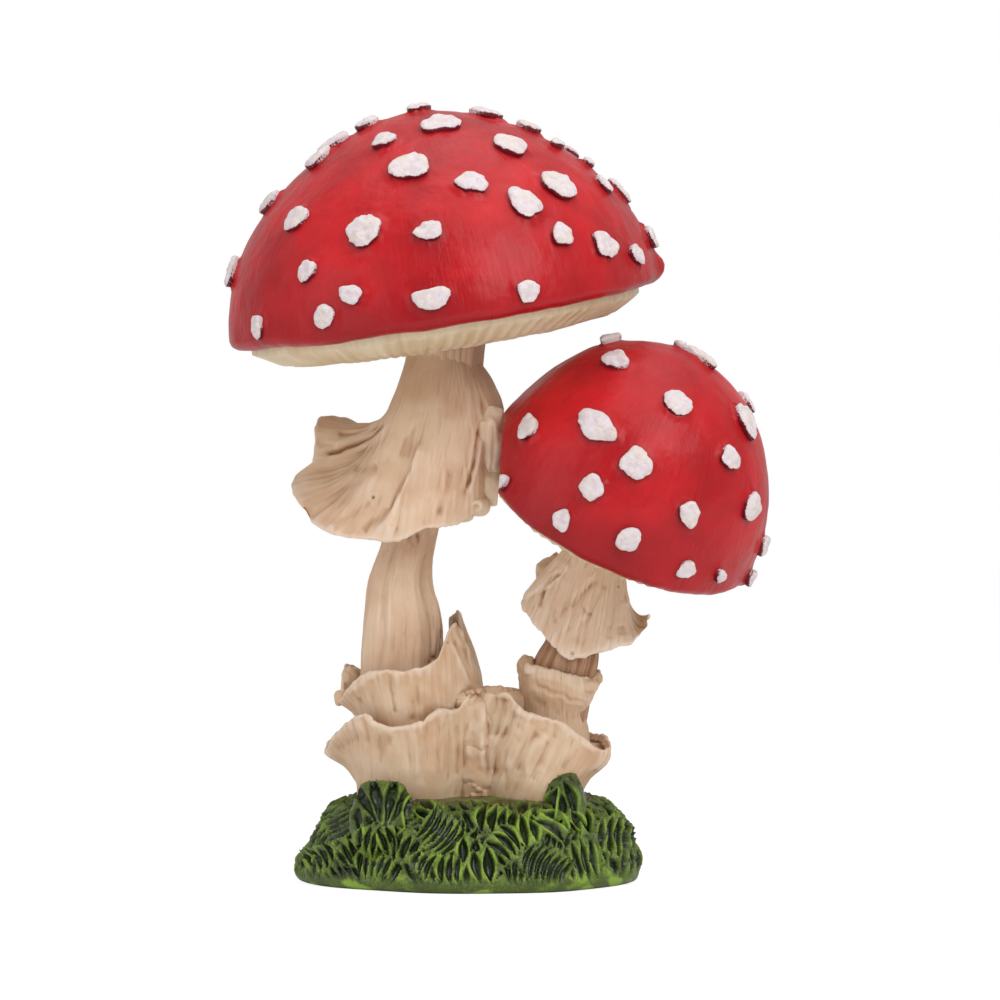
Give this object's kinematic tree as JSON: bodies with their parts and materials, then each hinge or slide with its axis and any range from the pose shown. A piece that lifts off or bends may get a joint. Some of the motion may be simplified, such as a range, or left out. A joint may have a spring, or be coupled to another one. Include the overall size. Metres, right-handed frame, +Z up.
{
  "type": "toadstool ornament",
  "caption": "Free-standing ornament of two red, white-warted toadstools, the small one leaning against the big one's skirt, on a grassy mound with a flat underside.",
  "frame": {"origin": "middle of the mound's flat underside", "axes": "+Z up, +X from the big toadstool towards the small one, -Y the front"},
  "size_m": [0.1608, 0.1319, 0.2276],
  "materials": {
    "red_cap": "glossy hand-painted red on cast resin",
    "white_wart": "chalky white paint with a dark red wash at the edges",
    "cream_gill": "satin cream with a brown wash in the pleats",
    "cream_stem": "satin tan-cream, dry-brushed pale on the ridges",
    "brown_cup": "satin tan with a brown wash and pale frilled edges",
    "green_grass": "glossy black-green, dry-brushed bright green",
    "steel_pin": "plain steel rod"
  },
  "bodies": {
    "root": {"big_gills": "cream_gill", "big_cap": "red_cap", "big_cap_pin": "steel_pin", "big_cap_wart_01": "white_wart", "big_cap_wart_02": "white_wart", "big_cap_wart_03": "white_wart", "big_cap_wart_04": "white_wart", "big_cap_wart_05": "white_wart", "big_cap_wart_06": "white_wart", "big_cap_wart_07": "white_wart", "big_cap_wart_08": "white_wart", "big_cap_wart_09": "white_wart", "big_cap_wart_10": "white_wart", "big_cap_wart_11": "white_wart", "big_cap_wart_12": "white_wart", "big_cap_wart_13": "white_wart", "big_cap_wart_14": "white_wart", "big_cap_wart_15": "white_wart", "big_cap_wart_16": "white_wart", "big_cap_wart_17": "white_wart", "big_cap_wart_18": "white_wart", "big_cap_wart_19": "white_wart", "big_cap_wart_20": "white_wart", "big_cap_wart_21": "white_wart", "big_cap_wart_22": "white_wart", "big_cap_wart_23": "white_wart", "big_cap_wart_24": "white_wart", "big_cap_wart_25": "white_wart", "small_gills": "cream_gill", "small_cap": "red_cap", "small_cap_pin": "steel_pin", "small_cap_wart_01": "white_wart", "small_cap_wart_02": "white_wart", "small_cap_wart_03": "white_wart", "small_cap_wart_04": "white_wart", "small_cap_wart_05": "white_wart", "small_cap_wart_06": "white_wart", "small_cap_wart_07": "white_wart", "small_cap_wart_08": "white_wart", "small_cap_wart_09": "white_wart", "small_cap_wart_10": "white_wart", "small_cap_wart_11": "white_wart", "small_cap_wart_12": "white_wart", "small_cap_wart_13": "white_wart", "small_cap_wart_14": "white_wart", "mound": "green_grass", "grass_clump_left": "green_grass", "grass_clump_right": "green_grass", "big_lower_cup": "brown_cup", "big_upper_cup": "brown_cup", "big_stem": "cream_stem", "big_skirt": "cream_stem", "small_lower_cup": "brown_cup", "small_upper_cup": "brown_cup", "small_stem": "cream_stem", "small_skirt": "cream_stem", "big_foot_pin": "steel_pin", "small_foot_pin": "steel_pin"}
  },
  "joints": []
}
